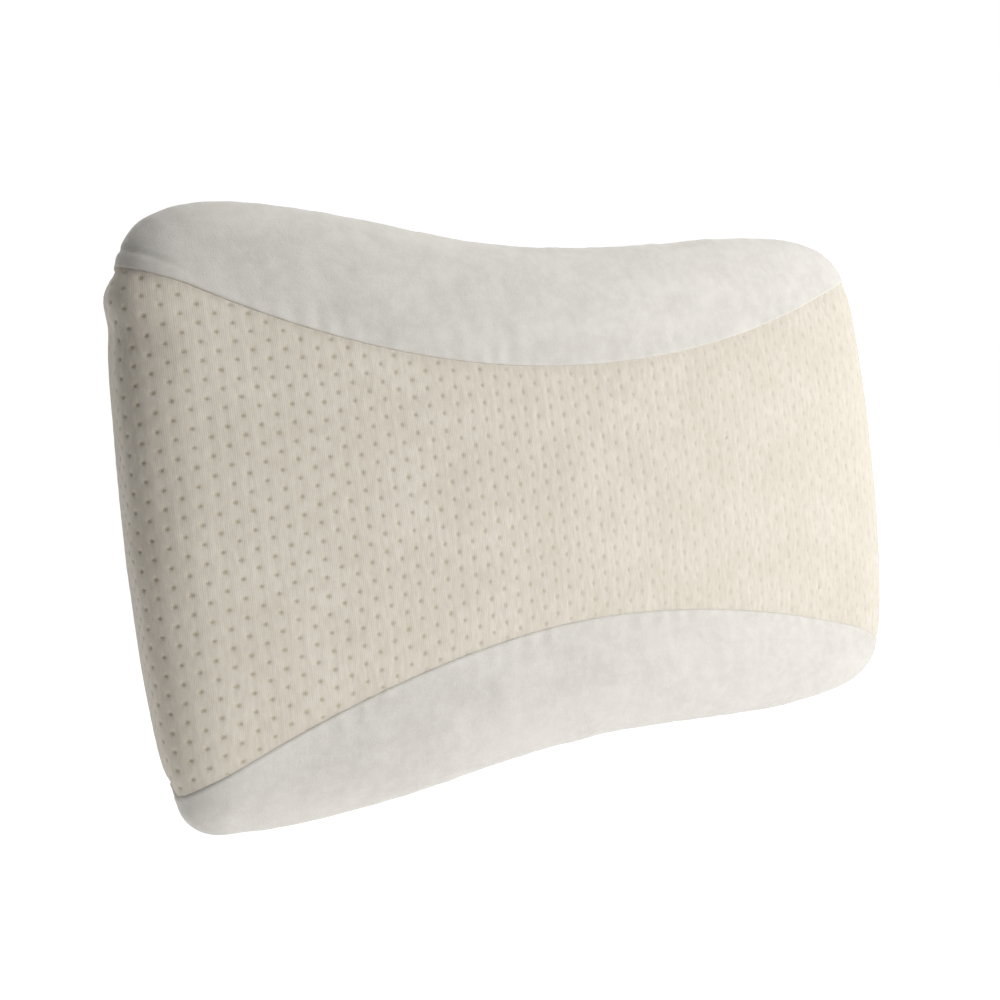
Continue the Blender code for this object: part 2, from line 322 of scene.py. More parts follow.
def seam_end_angle(seam_line, up, left, inset):
    """Direction psi at which the inner edge of the rounding meets a seam line z(x)."""
    sign = 1.0 if up else -1.0
    low, high = math.radians(-10.0), math.radians(60.0)
    for _ in range(HALVINGS):
        mid = 0.5 * (low + high)
        psi = sign * ((math.pi - mid) if left else mid)
        _, _, _, _, xi, zi = rim(np.array([psi]), inset)
        if sign * (zi[0] - float(seam_line(xi)[0])) > 0.0:
            high = mid
        else:
            low = mid
    return psi


def seam_end(up, left, angles):
    """Points of a front seam's end, from the front face round to the last of angles."""
    psi = seam_end_angle(partial(front_seam, up=up), up, left, FRONT_INSET)
    rows, _ = wrapped_section(np.array([psi]), [(1.0, seam_bend(up, left))], angles)
    return np.concatenate(rows)


# ---- soft detail of the surface

RANDOM = np.random.RandomState(7)


def wave_set(count, shortest, longest):
    """Random plane waves in 3-D, for smooth undulation that is the same each run."""
    directions = RANDOM.normal(size=(count, 3))
    directions /= np.linalg.norm(directions, axis=1)[:, None]
    lengths = np.exp(RANDOM.uniform(math.log(shortest), math.log(longest), count))
    return directions * (2.0 * np.pi / lengths)[:, None], RANDOM.uniform(0.0, 2.0 * np.pi, count)


def waves(points, wave):
    """Sum of a wave set at each point, about 1 in size."""
    vectors, phases = wave
    return np.sin(points @ vectors.T + phases).sum(-1) / math.sqrt(len(phases))


SLOW = wave_set(10, 0.09, 0.22)
MEDIUM = wave_set(14, 0.028, 0.060)
FINE = wave_set(18, 0.010, 0.022)


def make_mesh(name, points, faces, uv=None, values=None):
    """New smooth object; heights are measured from the centre line, as everywhere here."""
    mesh = bpy.data.meshes.new(name)
    mesh.from_pydata((np.asarray(points) + (0.0, 0.0, CENTRE_Z)).tolist(), [], faces)
    mesh.update()
    mesh.shade_smooth()
    if uv is not None:
        layer = mesh.uv_layers.new(name="fabric")
        index = np.empty(len(mesh.loops), dtype=np.int32)
        mesh.loops.foreach_get("vertex_index", index)
        layer.data.foreach_set("uv", uv[index].astype(np.float32).ravel())
    for key, data in (values or {}).items():
        attribute = mesh.attributes.new(key, "FLOAT", "POINT")
        attribute.data.foreach_set("value", data.astype(np.float32))
    obj = bpy.data.objects.new(name, mesh)
    bpy.context.scene.collection.objects.link(obj)
    return obj


def thicken(obj, thickness, offset):
    """Give a sheet its thickness: inward where offset is -1, both ways where it is 0."""
    solid = obj.modifiers.new("thickness", "SOLIDIFY")
    solid.thickness = thickness
    solid.offset = offset


def grid_faces(index):
    """Quads of a 2-D array of vertex numbers."""
    a, b = index[:-1, :-1].ravel(), index[1:, :-1].ravel()
    c, d = index[1:, 1:].ravel(), index[:-1, 1:].ravel()
    return np.stack([a, b, c, d], -1).tolist()


# ---- cover under tension

CLOTH_VOXEL = 0.0055
CLOTH_INSET = 0.0020
CLOTH_PRESSURE = 4.0
CLOTH_FRAMES = 20
CLOTH_CAP = 0.006
CLOTH_GAIN = 0.5
CLOTH_LEVEL = 0.10
# Cloth this near a seam is held, and the level fades in over the second distance
CLOTH_HELD = 0.006
CLOTH_EASE = 0.015
CLOTH_NEIGHBOURS = 6


def seam_points():
    """Points along every seam of the cover, for holding the cloth there."""
    x = np.linspace(-0.20, 0.20, 300)
    found = []
    for up in (True, False):
        z = front_seam(x, up)
        found.append(xyz(x, front_y(x, z), z))
        for left in (True, False):
            found.append(seam_end(up, left, [0.2, BACK_SEAM_ANGLE]))
    psi = np.linspace(-np.pi, np.pi, 900)
    found.append(back_section(psi, [BACK_SEAM_ANGLE])[0][0])
    found.append(xyz(x, BACK_Y, ZIP_Z - CENTRE_Z))
    return np.concatenate(found)


def tree_of(points):
    """Search tree for the nearest of some points."""
    tree = KDTree(len(points))
    for number, point in enumerate(points):
        tree.insert(point, number)
    tree.balance()
    return tree


def mesh_points(mesh):
    """Vertices of a mesh, with heights measured from the centre line."""
    flat = np.empty(len(mesh.vertices) * 3)
    mesh.vertices.foreach_get("co", flat)
    return flat.reshape(-1, 3) - (0.0, 0.0, CENTRE_Z)


def blown_cover():
    """Blow the cover up like cloth held at its seams; how far each point swells over the form."""
    scene = bpy.context.scene
    body = inner_shell("cloth_body", CLOTH_INSET, 0, None)
    remesh = body.modifiers.new("even", "REMESH")
    remesh.mode = "VOXEL"
    remesh.voxel_size = CLOTH_VOXEL
    even = bpy.data.meshes.new_from_object(body.evaluated_get(bpy.context.evaluated_depsgraph_get()))
    body.modifiers.clear()
    body.data = even
    start = mesh_points(even)
    normals = np.empty(len(start) * 3)
    even.vertex_normals.foreach_get("vector", normals)
    seams = tree_of(seam_points())
    gap = np.array([seams.find(point)[2] for point in start])
    held = body.vertex_groups.new(name="seams")
    for number in np.flatnonzero(gap < CLOTH_HELD):
        held.add([int(number)], 1.0, "REPLACE")
    cloth = body.modifiers.new("cloth", "CLOTH")
    settings = cloth.settings
    settings.vertex_group_mass = "seams"
    settings.use_pressure = True
    settings.uniform_pressure_force = CLOTH_PRESSURE
    settings.effector_weights.gravity = 0.0
    cloth.collision_settings.use_collision = False
    cloth.point_cache.frame_start = 1
    cloth.point_cache.frame_end = CLOTH_FRAMES
    before = scene.frame_current
    for frame in range(1, CLOTH_FRAMES + 1):
        scene.frame_set(frame)
    evaluated = body.evaluated_get(bpy.context.evaluated_depsgraph_get())
    after = mesh_points(evaluated.data)
    swell = ((after - start) * normals.reshape(-1, 3)).sum(-1)
    scene.frame_set(before)
    bpy.data.objects.remove(body)
    swell = np.clip(swell, -CLOTH_CAP, CLOTH_CAP)
    # The narrow walls keep the form's own level, and the seams stay where they are
    level = np.quantile(swell[gap > CLOTH_EASE], CLOTH_LEVEL)
    return tree_of(start), CLOTH_GAIN * (swell - level * unit(gap / CLOTH_EASE))


def swell_at(points):
    """Swell of the cover at any points, from the nearest points of the cloth."""
    if COVER is None:
        return np.zeros(len(points))
    tree, swell = COVER
    found = np.empty(len(points))
    for number, point in enumerate(points):
        near = tree.find_n(point, CLOTH_NEIGHBOURS)
        weight = np.array([1.0 / (gap + 0.002) ** 2 for _, _, gap in near])
        found[number] = (weight * swell[[index for _, index, _ in near]]).sum() / weight.sum()
    return found


# ---- velour panels

PANEL_COLUMNS = 210
# Rows measured from the seam as fractions of the strip, close together at the seam
ROW_GRADES = np.concatenate([np.array([0.0, 0.006, 0.012, 0.020, 0.030, 0.045, 0.065, 0.090]),
                             np.linspace(0.12, 1.0, 32)])


def coons(bottom, top, left, right, across, upward):
    """Patch between four boundary curves, in the XZ plane."""
    s = across[:, None, None]
    t = upward[None, :, None]
    ruled = (1 - t) * bottom[:, None] + t * top[:, None] + (1 - s) * left[None] + s * right[None]
    corners = ((1 - s) * (1 - t) * bottom[0] + s * (1 - t) * bottom[-1]
               + (1 - s) * t * top[0] + s * t * top[-1])
    return ruled - corners


def ring_angles(start, end, up):
    """Directions round the rim from one seam end to the other by way of both corners."""
    sign = 1.0 if up else -1.0
    left_corner, right_corner = sign * 0.75 * np.pi, sign * 0.25 * np.pi
    left = start + (left_corner - start) * ROW_GRADES
    u = np.linspace(-1.0, 1.0, PANEL_COLUMNS + 1)
    top = np.arctan2(sign, u)
    right = end + (right_corner - end) * ROW_GRADES
    return left, top, right


def strip(seam_line, up, inset, on_back):
    """Flat part of a panel, from its seam to the inner edge of the rounding, and its ring."""
    start = seam_end_angle(seam_line, up, True, inset)
    end = seam_end_angle(seam_line, up, False, inset)
    left, top, right = ring_angles(start, end, up)
    inner = []
    for psi in (left, top, right):
        _, _, _, _, xi, zi = rim(psi, inset)
        inner.append(np.stack([xi, zi], -1))
    x = np.linspace(inner[0][0, 0], inner[2][0, 0], PANEL_COLUMNS + 1)
    blend = np.linspace(0.0, 1.0, PANEL_COLUMNS + 1)
    bottom = np.stack([x, seam_line(x)], -1)
    bottom[0], bottom[-1] = inner[0][0], inner[2][0]
    flat = coons(bottom, inner[1], inner[0], inner[2], blend, ROW_GRADES)
    x, z = flat[..., 0], flat[..., 1]
    points = xyz(x, BACK_Y if on_back else front_y(x, z), z)
    normal = np.broadcast_to((0.0, 1.0, 0.0), points.shape) if on_back else front_normal(x, z)
    psi = np.concatenate([left, top[1:-1], right[::-1]])
    return points, normal, psi


def panel_arrays(seam_line, up, on_back, layers):
    """All vertices of a panel with normals, faces and distances to its own seams.

    layers(psi, bends) gives the rows beyond the strip, their normals and their distances to the
    seam round the back edge, which come last here. The first distance is to the panel's own seam.
    """
    inset = BACK_EDGE if on_back else FRONT_INSET
    flat, flat_normal, psi = strip(seam_line, up, inset, on_back)
    columns, rows = flat.shape[:2]
    number = np.arange(columns * rows).reshape(columns, rows)
    to_seam = np.linalg.norm(flat - flat[:, :1], axis=-1)
    lean = np.cos(np.arctan(np.gradient(flat[:, 0, 2], flat[:, 0, 0])))
    to_seam = to_seam * lean[:, None]
    ring = np.concatenate([number[0, :], number[1:-1, -1], number[-1, ::-1]])
    bends = []
    for left in (True, False):
        weight = np.zeros(len(psi))
        weight[:len(ROW_GRADES)] = 1.0 - ROW_GRADES
        bends.append((weight if left else weight[::-1], seam_bend(up, left)))
    extra, extra_normals, to_back = layers(psi, bends)
    distance = [to_seam.ravel()]
    for row in extra:
        length = lengths_along(row)
        distance.append(np.minimum(length * lean[0], (length[-1] - length) * lean[-1]))
    beyond = number.size + np.arange(len(extra) * len(psi)).reshape(len(extra), len(psi))
    faces = grid_faces(number) + grid_faces(np.concatenate([ring[None], beyond]))
    points = np.concatenate([flat.reshape(-1, 3)] + extra)
    normals = np.concatenate([flat_normal.reshape(-1, 3)] + extra_normals)
    to_back = np.concatenate([np.ones(number.size), np.repeat(to_back, len(psi))])
    return points, normals, faces, np.concatenate(distance), to_back


def orient(obj, normals=None):
    """Make the faces agree, and look outward where normals are known."""
    work = bmesh.new()
    work.from_mesh(obj.data)
    bmesh.ops.recalc_face_normals(work, faces=work.faces)
    work.to_mesh(obj.data)
    work.free()
    mesh = obj.data
    mesh.shade_smooth()
    if normals is None:
        return
    found = np.empty(len(mesh.vertices) * 3)
    mesh.vertex_normals.foreach_get("vector", found)
    if (found.reshape(-1, 3) * normals).sum() < 0.0:
        mesh.flip_normals()
        mesh.update()


def seam_roll(distance, depth, width, swell):
    """Height over the form near a sewn edge: it dives at the seam and swells just beside it."""
    rise = 1.0 - np.exp(-(distance / width))
    crest = bell(distance - 3.0 * width, 2.2 * width)
    return -depth * (1.0 - rise) + swell * rise + 0.4 * swell * crest


PUCKER_PITCH, PUCKER_BEAT = 0.0115, 0.093


def pucker(points, distance, reach, size):
    """Short ripples that run out from a seam and die away."""
    turns = 2.0 * np.pi * (points[:, 0] + 0.7 * points[:, 1])
    phase = turns / PUCKER_PITCH + 1.7 * waves(points, SLOW) + 0.8 * waves(points, MEDIUM)
    fade = np.exp(-(distance / reach) ** 1.5) * (0.55 + 0.45 * np.sin(turns / PUCKER_BEAT))
    return size * np.sin(phase) * fade


FOLD_START_X, FOLD_RUN = -0.186, 0.026
FOLD_DEPTH, FOLD_WIDTH = 0.0007, 0.0016


def corner_fold(points, distance):
    """The crease beside the upper seam where the cover is gathered at its left end."""
    fade = smooth((FOLD_START_X - points[:, 0]) / FOLD_RUN)
    line = 0.0055 + 0.0025 * fade
    return -FOLD_DEPTH * fade * bell(distance - line, FOLD_WIDTH)


def front_layers(psi, bends):
    """Rows of a front panel beyond its flat part: rounding, wall and back seam."""
    angles = [0.3 * BACK_SEAM_ANGLE, 0.6 * BACK_SEAM_ANGLE, 0.85 * BACK_SEAM_ANGLE,
              BACK_SEAM_ANGLE, BACK_SEAM_ANGLE + 0.06, BACK_SEAM_ANGLE + 0.20]
    rows, normals = wrapped_section(psi, bends, angles)
    rows, normals = rows[1:], normals[1:]
    seam_y = BACK_Y - BACK_SEAM_DEPTH
    to_back = [1.0] * ROUND_STEPS
    for row in rows[ROUND_STEPS:ROUND_STEPS + len(WALL_ROWS)]:
        to_back.append(seam_y - float(row[:, 1].mean()) + 0.0003)
    for angle in angles:
        to_back.append((BACK_SEAM_ANGLE - angle) * BACK_EDGE)
    return rows, normals, to_back


def back_layers(psi, _bends):
    """Rows of a back panel beyond its flat part, ending tucked in at the back seam."""
    angles = np.concatenate([np.linspace(0.5 * np.pi, BACK_SEAM_ANGLE + 0.22, 8)[1:],
                             BACK_SEAM_ANGLE + np.array([0.15, 0.10, 0.06, 0.03, 0.01, -0.02])])
    rows, normals = back_section(psi, angles)
    to_back = [max((angle - BACK_SEAM_ANGLE) * BACK_EDGE, 0.0) for angle in angles]
    return rows, normals, to_back


# Where the cover is pushed out by a full corner of the filling, how far and how widely
LOWER_LEFT_CORNER = (-0.2080, -0.0170, -0.1368)
CORNER_RISE, CORNER_RADIUS = 0.0028, 0.015


def corner_push(points):
    return CORNER_RISE * bell(np.linalg.norm(points - LOWER_LEFT_CORNER, axis=1), CORNER_RADIUS)


VELOUR_THICKNESS = 0.0009
# Depth of the groove at the two front seams, at the zip's edge and at the seam round the back
UPPER_GROOVE, LOWER_GROOVE, ZIP_GROOVE, BACK_GROOVE = 0.0022, 0.0009, 0.0012, 0.0022


def velour_panel(name, seam_line, up, on_back):
    """One velour panel, from its own seam round the rim to the seam at the back edge."""
    layers = back_layers if on_back else front_layers
    points, normals, faces, distance, past = panel_arrays(seam_line, up, on_back, layers)
    to_back = np.abs(past)
    hidden = unit(-past)
    if on_back:
        in_slot = unit((SLOT_HALF_LENGTH + 0.003 - np.abs(points[:, 0])) / 0.006)
        height = seam_roll(distance, ZIP_GROOVE + 0.0016 * in_slot, 0.0007, 0.0004)
        height -= 0.0004 * in_slot * bell(distance - 0.0030, 0.0007)
    else:
        height = seam_roll(distance, UPPER_GROOVE if up else LOWER_GROOVE, 0.0005, 0.0003)
        if up:
            height += corner_fold(points, distance)
        height += corner_push(points)
    height += seam_roll(to_back, BACK_GROOVE, 0.0012, 0.0)
    # What lies past the back seam dives under the other panel
    height -= 2.0 * hidden
    open_area = unit(np.minimum(distance, to_back) / 0.02)
    height += open_area * (0.00024 * waves(points, MEDIUM) + 0.0004 * waves(points, SLOW))
    height += swell_at(points)
    height += 0.00012 * waves(points, FINE) * unit(distance / 0.004)
    height += pucker(points, distance, 0.014, 0.00028 if not on_back else 0.0001)
    height += pucker(points[:, [1, 0, 2]], to_back, 0.012, 0.00025)
    points = points + normals * height[:, None]
    # Painted shade along the groove of each seam, carried by the crease attribute
    line = bell(distance, CREASE_WIDTH)
    if not on_back:
        # Painted seam shade, strongest along the upper seam at the left and fading to the right;
        # faint along the lower seam
        leftness = unit((0.16 - points[:, 0]) / 0.30)
        line *= 0.25 + 0.75 * leftness if up else 0.15
    crease = np.maximum(line, 0.8 * bell(to_back, CREASE_WIDTH))
    obj = make_mesh(name, points, faces, values={"crease": crease})
    orient(obj, normals)
    thicken(obj, VELOUR_THICKNESS, -1.0)
    return obj


# ---- eyelet knit panel

HEIGHT_STEP = 0.001
REACH_STEP = 0.0005


def section_table():
    """The form as height lines: for each z, x and y against distance round from the middle."""
    heights = np.arange(-0.139, 0.1445, HEIGHT_STEP)
    reach = np.arange(0.0, 0.3205, REACH_STEP)
    wall = np.linspace(0.06, 1.0, 16)
    table = {}
    for left in (True, False):
        half = np.radians(np.linspace(-62.0, 62.0, 1600))
        psi = np.pi - half if left else half
        rows = front_section(psi, 16, wall)[0] + back_section(psi, np.linspace(0.08, 1.5, 14))[0]
        lines = []
        for row in rows:
            z = np.maximum.accumulate(row[:, 2])
            lines.append([np.interp(heights, z, row[:, axis]) for axis in (0, 1)])
        lines_x, lines_y = np.array(lines).swapaxes(0, 1)
        places = np.empty((2, len(heights), len(reach)))
        for k, height in enumerate(heights):
            flat_x = np.linspace(0.0, lines_x[0, k], 80)[:-1]
            flat_y = front_y(flat_x, np.full_like(flat_x, height))
            x = np.concatenate([flat_x, lines_x[:, k]])
            y = np.concatenate([flat_y, lines_y[:, k]])
            length = np.concatenate([[0.0], np.cumsum(np.hypot(np.diff(x), np.diff(y)))])
            places[:, k] = np.interp(reach, length, x), np.interp(reach, length, y)
        table[left] = places
    return heights, reach, table


HEIGHTS, REACH, TABLE = section_table()


def form_point(a, z):
    """Point of the form at height z, a distance a round from the middle; left is negative."""
    iz = np.clip((z - HEIGHTS[0]) / HEIGHT_STEP, 0.0, len(HEIGHTS) - 1.001)
    ia = np.clip(np.abs(a) / REACH_STEP, 0.0, len(REACH) - 1.001)
    k, i = iz.astype(int), ia.astype(int)
    fz, fa = iz - k, ia - i
    out = np.empty((len(a), 3))
    out[:, 2] = z
    for left in (True, False):
        pick = (a < 0.0) == left
        p, q, s, t = k[pick], i[pick], fz[pick], fa[pick]
        for axis, data in enumerate(TABLE[left]):
            out[pick, axis] = ((1 - s) * (1 - t) * data[p, q] + s * (1 - t) * data[p + 1, q]
                               + (1 - s) * t * data[p, q + 1] + s * t * data[p + 1, q + 1])
    return out


def form_normal(a, z):
    """Direction out of the form at a and z, from its slopes both ways."""
    step = 0.0012
    da = form_point(a + step, z) - form_point(a - step, z)
    dz = form_point(a, z + step) - form_point(a, z - step)
    normal = np.cross(da, dz)
    return normal / np.linalg.norm(normal, axis=1)[:, None]


SMOOTHINGS = 6


def seam_in_fabric(up):
    """A seam line in fabric coordinates: distance round, height and slope."""
    ends = []
    for left in (True, False):
        track = seam_end(up, left, np.linspace(0.1, BACK_SEAM_ANGLE + 0.2, 5))
        xs, ys = TABLE[left]
        distance = []
        for point in track:
            k = int(round((point[2] - HEIGHTS[0]) / HEIGHT_STEP))
            distance.append(REACH[np.hypot(xs[k] - point[0], ys[k] - point[1]).argmin()])
        ends.append((np.array(distance) * (-1.0 if left else 1.0), track[:, 2]))
    x = np.linspace(-0.185, 0.185, 120)
    z = front_seam(x, up)
    k = np.clip(((z - HEIGHTS[0]) / HEIGHT_STEP).round().astype(int), 0, len(HEIGHTS) - 1)
    a = []
    for value, row in zip(x, k):
        xs, _ = TABLE[value < 0.0]
        a.append(math.copysign(float(np.interp(abs(value), np.abs(xs[row]), REACH)), value))
    a = np.concatenate([ends[0][0][::-1], a, ends[1][0]])
    z = np.concatenate([ends[0][1][::-1], z, ends[1][1]])
    order = np.argsort(a)
    even = np.arange(-0.310, 0.3101, 0.001)
    height = np.interp(even, a[order], z[order])
    for _ in range(SMOOTHINGS):
        height[1:-1] = 0.25 * height[:-2] + 0.5 * height[1:-1] + 0.25 * height[2:]
    return even, height, np.gradient(height, even)


UPPER_TRACK = seam_in_fabric(True)
LOWER_TRACK = seam_in_fabric(False)

# One eyelet: its cell's edge, whose radius is not used, then rings towards the hole, each with
# radius and height over the fabric in metres and share of the painted shade in the hole
EYELET_RINGS = ((0.0, 0.0, 0.0), (0.00240, -0.00006, 0.12), (0.00140, -0.00017, 0.25),
                (0.00080, -0.00040, 0.70), (0.00036, -0.00056, 1.0))

# How far the knit goes on under the velour beside it, and past the seam round the back
TUCK = 0.007
BACK_TUCK = 0.0045


def eyelet_centres():
    """Places of the eyelets in the cloth, on a staggered grid between the seams."""
    columns = int(0.300 / EYELET_PITCH_X)
    centres = []
    for i in range(-columns, columns + 1):
        shift = 0.5 * (i % 2)
        for j in range(-17, 18):
            centres.append((i * EYELET_PITCH_X, (j + shift) * EYELET_PITCH_Z))
    centres = np.array(centres)
    top = np.interp(centres[:, 0], *UPPER_TRACK[:2])
    bottom = np.interp(centres[:, 0], *LOWER_TRACK[:2])
    keep = (centres[:, 1] < top + TUCK) & (centres[:, 1] > bottom - TUCK)
    last_y = BACK_Y - BACK_SEAM_DEPTH + BACK_TUCK
    keep &= form_point(centres[:, 0], centres[:, 1])[:, 1] < last_y
    return centres[keep]


def eyelet_cells(centres):
    """Flat mesh of one cell for each eyelet: places in the cloth, heights, mask of painted shade in
    the hole, and faces.
    """
    half_x, half_z = 0.5 * EYELET_PITCH_X, 0.5 * EYELET_PITCH_Z
    # Twelve places round a cell's edge, anticlockwise from the lower left corner
    edge = [(-1, -1), (-0.5, -1), (0, -1), (0.5, -1), (1, -1), (1, 0),
            (1, 1), (0.5, 1), (0, 1), (-0.5, 1), (-1, 1), (-1, 0)]
    edge = np.array(edge) * (half_x, half_z)
    sides = len(edge)
    turn = np.arctan2(edge[:, 1] / half_z, edge[:, 0] / half_x)
    round_hole = np.stack([np.cos(turn), np.sin(turn)], -1)
    count = len(centres)
    # Small irregularity of a knitted hole
    jitter = RANDOM.normal(scale=0.00007, size=(count, 1, 2))
    scale = 1.0 + RANDOM.normal(scale=0.05, size=(count, 1, 1))
    # The cloth is stretched sideways at the left, so its holes are wide there and tall elsewhere
    slack = unit((centres[:, 0] + 0.17) / 0.22)
    shape = np.stack([1.16 - 0.10 * slack, 0.86 + 0.64 * slack], -1)[:, None]
    flat = [centres[:, None] + edge]
    for radius, _, _ in EYELET_RINGS[1:]:
        inner = radius < 0.002
        ring = round_hole * radius * (scale * shape if inner else 1.0)
        flat.append(centres[:, None] + ring + jitter * inner)
    flat = np.stack(flat, 1)
    _, height, mask = (np.tile(np.repeat(values, sides), count) for values in zip(*EYELET_RINGS))
    number = np.arange(height.size).reshape(flat.shape[:3])
    # Cells share the vertices on their edges
    corner = number[:, 0].ravel()
    keys = np.round(flat[:, 0].reshape(-1, 2) / (0.25 * half_x, 0.25 * half_z)).astype(np.int64)
    _, first, inverse = np.unique(keys, axis=0, return_index=True, return_inverse=True)
    merged = number.copy()
    merged[:, 0] = corner[first][inverse.ravel()].reshape(count, sides)
    faces = []
    for level in range(flat.shape[1] - 1):
        outer, inner = merged[:, level], merged[:, level + 1]
        quads = np.stack([outer, np.roll(outer, -1, 1), np.roll(inner, -1, 1), inner], -1)
        faces.append(quads.reshape(-1, 4))
    faces = np.concatenate(faces)
    caps = merged[:, -1]
    used = np.unique(np.concatenate([faces.ravel(), caps.ravel()]))
    remap = np.full(number.size, -1)
    remap[used] = np.arange(len(used))
    faces = remap[faces].tolist() + remap[caps].tolist()
    return flat.reshape(-1, 2)[used], height[used], mask[used], faces


def distance_to(track, a, z):
    """Distance of points in the cloth below a seam track, square to it."""
    return (np.interp(a, *track[:2]) - z) * np.cos(np.arctan(np.interp(a, track[0], track[2])))


def knit_height(points, to_top, inside, to_back):
    """Height of the knit over the form: it sinks at its seams and swells between them."""
    fabric = -0.0007 * bell(np.maximum(inside, 0.0), 0.0036)
    fabric += np.minimum(inside + 0.0015, 0.0) * 0.22
    fabric -= 0.0016 * np.exp(-(np.maximum(to_back, 0.0) / 0.0022) ** 1.3)
    fabric += np.minimum(to_back, 0.0) * 0.5
    open_area = unit(inside / 0.02)
    fabric += open_area * (0.00010 * waves(points, MEDIUM) + 0.00012 * waves(points, SLOW))
    fabric += swell_at(points) + corner_push(points)
    fabric += pucker(points, np.maximum(inside, 0.0), 0.012, 0.00010)
    # The end stands proud below the upper seam, and is drawn in above and below that
    at_left = unit((-0.195 - points[:, 0]) / 0.02)
    fabric += at_left * (0.0022 * bell(to_top - 0.014, 0.009) - 0.0007 * bell(to_top - 0.032, 0.009))
    return fabric


def eyelet_panel(name):
    """The knit front with every eyelet as a dished hole, wrapped round both ends of the form."""
    flat, height, mask, faces = eyelet_cells(eyelet_centres())
    a, z = flat[:, 0], flat[:, 1]
    points = form_point(a, z)
    normals = form_normal(a, z)
    to_top = distance_to(UPPER_TRACK, a, z)
    inside = np.minimum(to_top, -distance_to(LOWER_TRACK, a, z))
    to_back = BACK_Y - BACK_SEAM_DEPTH - points[:, 1]
    fabric = knit_height(points, to_top, inside, to_back)
    clear = unit(np.minimum(inside, to_back) / 0.0022)
    # The holes are drawn open and deep at the left and close up towards the right, and the painted
    # shade in them is darkest at the left too
    open_and_shaded = 0.36 + 0.76 * unit((0.08 - points[:, 0]) / 0.27)
    depth = height * (0.3 + 0.7 * clear) * (0.4 + 0.6 * open_and_shaded)
    # Painted shade in the holes, less near the seams and strongest at the left
    mask = mask * (0.15 + 0.85 * clear) * open_and_shaded
    points = points + normals * (fabric + depth)[:, None]
    obj = make_mesh(name, points, faces, uv=flat, values={"eyelet": mask})
    orient(obj, normals)
    return obj


# ---- foam and lining

SPOKE_RINGS = 24
SHELL_ROUND_STEPS = 8
# The front liner ends, and the back one starts, this many rings down the wall
LINER_SEAM = SPOKE_RINGS + SHELL_ROUND_STEPS + 1 + 3


def inner_shell(name, inset, first, last):
    """The cushion's form drawn in by inset, from ring number first to ring number last.

    The rings run from the middle of the front, round the edge, to the middle of the back.
    """
    psi = np.linspace(-np.pi, np.pi, 360, endpoint=False)
    rows, normals = front_section(psi, SHELL_ROUND_STEPS, np.linspace(0.15, 1.0, 7))
    more, more_normals = back_section(psi, np.linspace(0.15, 0.5 * np.pi, 8))
    spokes = np.linspace(0.0, 1.0, SPOKE_RINGS + 2)[1:-1]
    front, front_normals, back, back_normals = [], [], [], []
    for s in spokes:
        x, z = rows[0][:, 0] * s, rows[0][:, 2] * s
        front.append(xyz(x, front_y(x, z), z))
        front_normals.append(front_normal(x, z))
        x, z = more[-1][:, 0] * s, more[-1][:, 2] * s
        back.append(xyz(x, BACK_Y, z))
        back_normals.append(np.broadcast_to((0.0, 1.0, 0.0), back[-1].shape))
    rings = np.array(front + rows + more + back[::-1])
    facing = np.array(front_normals + normals + more_normals + back_normals[::-1])
    rings, facing = rings[first:last], facing[first:last]
    points = rings.reshape(-1, 3)
    ripple = 0.0004 * waves(points, FINE) + 0.0003 * waves(points, MEDIUM)
    points = points - facing.reshape(-1, 3) * (inset + ripple)[:, None]
    number = np.arange(len(points)).reshape(rings.shape[:2])
    number = np.concatenate([number, number[:, :1]], 1)
    faces = grid_faces(number)
    points = points.tolist()
    for ring, present in ((0, first == 0), (-1, last is None)):
        if present:
            centre = len(points)
            points.append(np.mean(np.array(points)[number[ring, :-1]], axis=0).tolist())
            loop = number[ring]
            for a, b in zip(loop[:-1], loop[1:]):
                faces.append([int(a), int(b), centre] if ring else [int(b), int(a), centre])
    obj = make_mesh(name, np.array(points), faces)
    orient(obj)
    return obj


# ---- zip coils and label

COIL_WIRE = 0.00024
COIL_PITCH = 0.00115
COIL_NEAR, COIL_FAR = 0.00042, 0.0017
# 1 is an ellipse; less is squarer
COIL_SQUARENESS = 0.75


def coil(name, node, sign):
    """One side of a nylon coil zip: a flattened helix of monofilament beside the centre line."""
    low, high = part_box(node)
    near, far = COIL_NEAR + COIL_WIRE, COIL_FAR - COIL_WIRE
    mid_z, half_z = 0.5 * (near + far), 0.5 * (far - near)
    mid_y = 0.5 * (low[1] + high[1])
    half_y = 0.5 * (high[1] - low[1]) - COIL_WIRE
    turns = int((high[0] - low[0]) / COIL_PITCH)
    per_turn, sides = 10, 5
    t = np.arange(turns * per_turn + 1) / per_turn
    ring = np.stack([np.sin(2.0 * np.pi * t), np.cos(2.0 * np.pi * t)])
    ring_y, ring_z = np.sign(ring) * np.abs(ring) ** COIL_SQUARENESS
    path = xyz(low[0] + COIL_PITCH * t + 0.0004, mid_y + half_y * ring_y,
               sign * (mid_z + half_z * ring_z))
    ahead = np.gradient(path, axis=0)
    ahead /= np.linalg.norm(ahead, axis=1)[:, None]
    side = np.cross(ahead, [1.0, 0.0, 0.0])
    side /= np.linalg.norm(side, axis=1)[:, None]
    third = np.cross(ahead, side)
    turn = 2.0 * np.pi * np.arange(sides) / sides
    tube = path[:, None] + COIL_WIRE * (np.cos(turn)[None, :, None] * side[:, None]
                                        + np.sin(turn)[None, :, None] * third[:, None])
    number = np.arange(tube.shape[0] * sides).reshape(-1, sides)
    faces = grid_faces(np.concatenate([number, number[:, :1]], 1))
    faces.append(number[0].tolist())
    faces.append(number[-1][::-1].tolist())
    points = tube.reshape(-1, 3) + (0.0, 0.0, ZIP_Z - CENTRE_Z)
    obj = make_mesh(name, points, faces)
    orient(obj)
    return obj


LABEL_WIDTH, LABEL_LENGTH, LABEL_THICKNESS = 0.040, 0.030, 0.00018
LABEL_BOW = 0.00012


